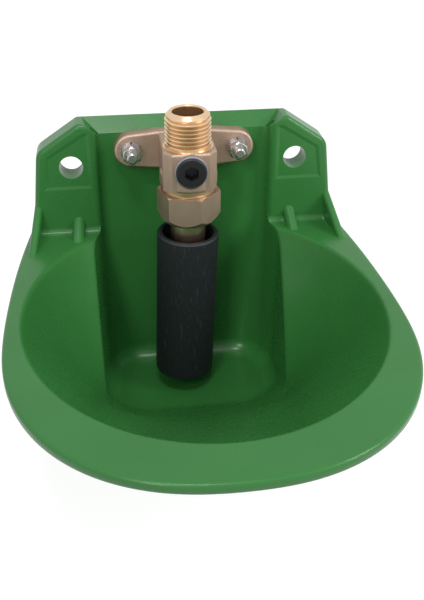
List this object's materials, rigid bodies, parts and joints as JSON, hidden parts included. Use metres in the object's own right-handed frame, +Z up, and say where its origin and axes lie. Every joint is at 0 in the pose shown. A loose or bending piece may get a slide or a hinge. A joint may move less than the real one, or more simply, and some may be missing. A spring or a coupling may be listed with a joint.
{
  "type": "tube valve drinking bowl",
  "caption": "Wall-mounted livestock drinking bowl in moulded plastic with a brass tube valve that opens when the hanging sleeve is pushed sideways.",
  "frame": {"origin": "midway between the two wall screw holes, on the wall plane", "axes": "+Z up, the wall is behind at +Y, the bowl stands out towards -Y, X along the wall"},
  "size_m": [0.1654, 0.19, 0.1512],
  "materials": {
    "bowl_plastic": "moulded green polymer, satin to gloss",
    "cast_brass": "sand cast and blasted brass, threads and collar turned bright",
    "nut_brass": "forged brass, dull",
    "turned_brass": "turned bright brass",
    "black_rubber": "matt black extruded rubber",
    "black_nylon": "moulded black nylon",
    "grey_nylon": "natural grey nylon",
    "white_acetal": "white acetal",
    "seal_rubber": "black nitrile rubber",
    "spring_steel": "drawn stainless wire",
    "zinc_steel": "bright zinc plated steel"
  },
  "bodies": {
    "bowl_and_valve": {"drinking_bowl": "bowl_plastic", "valve_body": "cast_brass", "union_nut": "nut_brass", "seat_ring": "turned_brass", "seat_o_ring": "seal_rubber", "screw_guard_ring": "grey_nylon", "lug_screws": "zinc_steel", "lug_flat_washers": "zinc_steel", "lug_spring_washers": "zinc_steel", "lug_nuts": "zinc_steel"},
    "pivot": {"pivot_ring": "white_acetal"},
    "tube": {"valve_stem": "turned_brass", "rubber_sleeve": "black_rubber"},
    "plunger": {"valve_plunger": "turned_brass", "plunger_seal": "seal_rubber", "lift_plate": "turned_brass", "return_spring": "spring_steel"},
    "regulator_seal": {"screw_o_ring": "seal_rubber"},
    "regulator": {"regulating_screw": "black_nylon"}
  },
  "joints": [
    {"name": "tube_swing", "type": "hinge", "parent": "bowl_and_valve", "child": "pivot", "pos_m": [0, -0.0277, -0.0144], "axis": [0, 0, 1], "continuous": true},
    {"name": "tube_tilt", "type": "hinge", "parent": "pivot", "child": "tube", "pos_m": [0, -0.0277, -0.0144], "axis": [0, 1, 0], "range_deg": [0, 3.4], "stiffness_Nm_per_rad": 2, "springref_deg": -5.73},
    {"name": "plunger_lift", "type": "slide", "parent": "bowl_and_valve", "child": "plunger", "axis": [0, 0, 1], "range_m": [0, 0.0006], "deforming": ["return_spring"]},
    {"name": "regulator_travel", "type": "slide", "parent": "bowl_and_valve", "child": "regulator_seal", "axis": [0, 1, 0], "range_m": [0, 0.003]},
    {"name": "regulator_turn", "type": "hinge", "parent": "regulator_seal", "child": "regulator", "pos_m": [0, -0.04, 0.0071], "axis": [0, 1, 0], "range_deg": [0, 720]}
  ],
  "couplings": [
    {"joint": "plunger_lift", "follows": "tube_tilt", "m_per_rad": 0.0084},
    {"joint": "regulator_turn", "follows": "regulator_travel", "rad_per_m": 4188.8}
  ]
}
